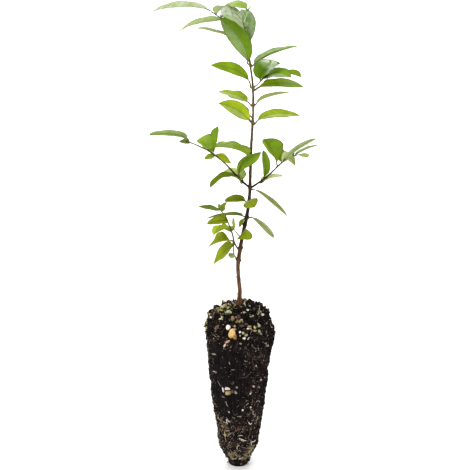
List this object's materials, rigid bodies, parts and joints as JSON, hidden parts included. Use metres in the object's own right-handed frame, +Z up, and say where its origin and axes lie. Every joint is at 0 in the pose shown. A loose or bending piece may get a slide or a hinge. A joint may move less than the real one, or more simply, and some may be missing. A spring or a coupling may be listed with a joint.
{
  "type": "potted_plant_seedling",
  "caption": "Strawberry guava seedling with a slender leaning trunk, glossy oval leaves and a bare, tapered peat root ball, as lifted from a deep tray cell",
  "frame": {"origin": "the centre of the root ball's flat underside", "axes": "+Z up along the plant, -Y the front that the picture shows, +X to the right in the picture"},
  "size_m": [0.1117, 0.0562, 0.3326],
  "materials": {
    "soil": "matte, crumbly dark peat",
    "bark": "matte, reddish brown",
    "leaf": "satin, waxy green"
  },
  "bodies": {
    "root": {"bough_left": "bark", "bough_right": "bark", "leaf_bough_back": "leaf", "leaf_bough_low": "leaf", "leaf_bough_right_low": "leaf", "leaf_bough_right_up": "leaf", "leaf_bough_up": "leaf", "leaf_drooping": "leaf", "leaf_fourth_back": "leaf", "leaf_fourth_left": "leaf", "leaf_fourth_right": "leaf", "leaf_front": "leaf", "leaf_level_left": "leaf", "leaf_level_right": "leaf", "leaf_low_back": "leaf", "leaf_low_front": "leaf", "leaf_low_left": "leaf", "leaf_middle_back": "leaf", "leaf_middle_left": "leaf", "leaf_third_back": "leaf", "leaf_third_left": "leaf", "leaf_third_right": "leaf", "leaf_tip_right": "leaf", "leaf_top_back": "leaf", "leaf_top_front": "leaf", "leaf_top_right": "leaf", "leaf_upper_back": "leaf", "leaf_upper_left": "leaf", "leaf_upper_right": "leaf", "leaves_left": "leaf", "leaves_lower_left": "leaf", "leaves_lowest": "leaf", "leaves_right": "leaf", "leaves_spur": "leaf", "leaves_tip": "leaf", "leaves_top_left": "leaf", "leaves_upper_right": "leaf", "root_ball": "soil", "trunk": "bark"}
  },
  "joints": []
}
